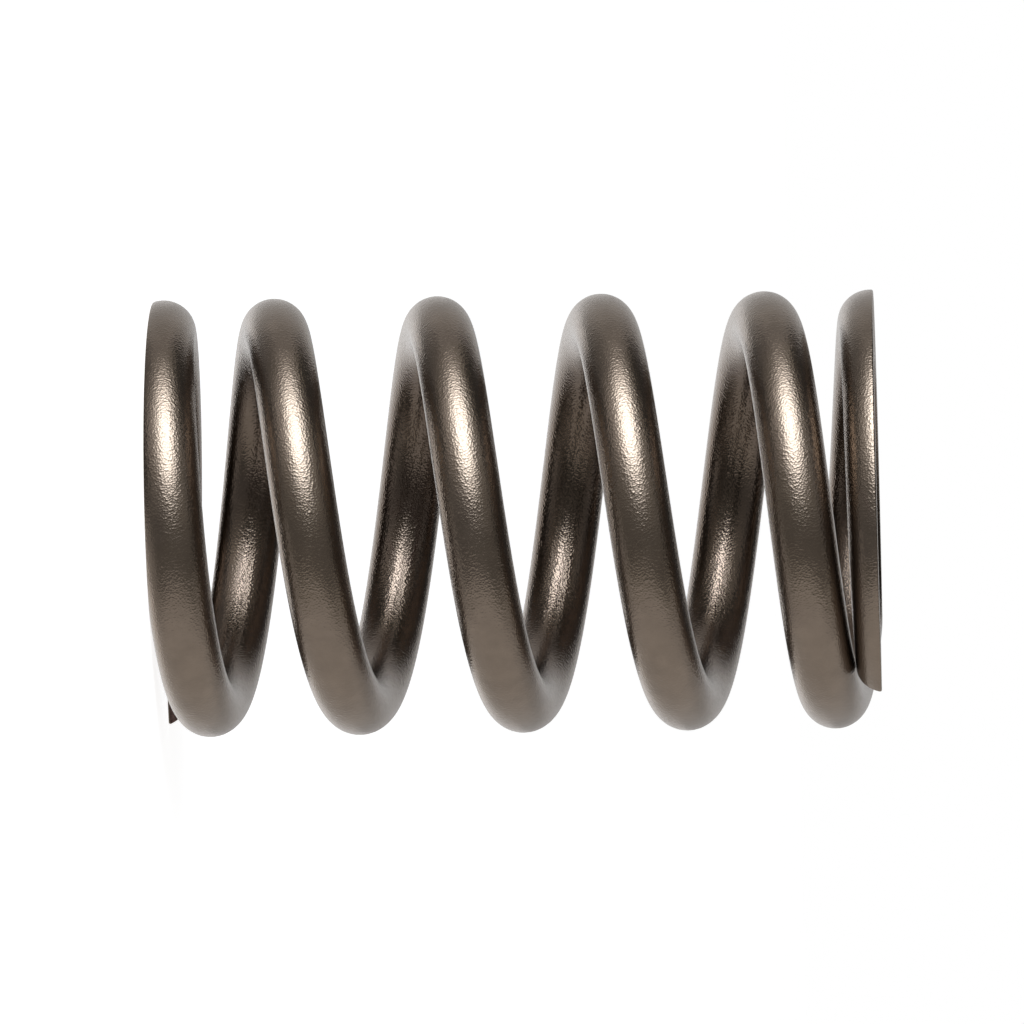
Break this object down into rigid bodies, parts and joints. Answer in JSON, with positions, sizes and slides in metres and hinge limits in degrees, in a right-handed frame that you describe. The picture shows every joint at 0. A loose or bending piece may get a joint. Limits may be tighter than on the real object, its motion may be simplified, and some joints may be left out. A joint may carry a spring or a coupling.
{
  "type": "engine valve spring",
  "caption": "Cylindrical compression spring of round shot-peened steel wire, with closed ends ground flat, that closes an engine's valve.",
  "frame": {"origin": "under the middle of the coil, in the plane of the lower ground face", "axes": "+Z from the lower ground face to the upper one, square to both; the coil's own axis leans 0.6 degrees from it towards +X; the lower wire tip lies 21 degrees from +X towards +Y"},
  "size_m": [0.0324, 0.032, 0.0525],
  "materials": {
    "spring_steel": "shot-peened and oiled, satin, a dark bronze grey, with ground end faces"
  },
  "bodies": {
    "root": {"valve_spring": "spring_steel"}
  },
  "joints": []
}
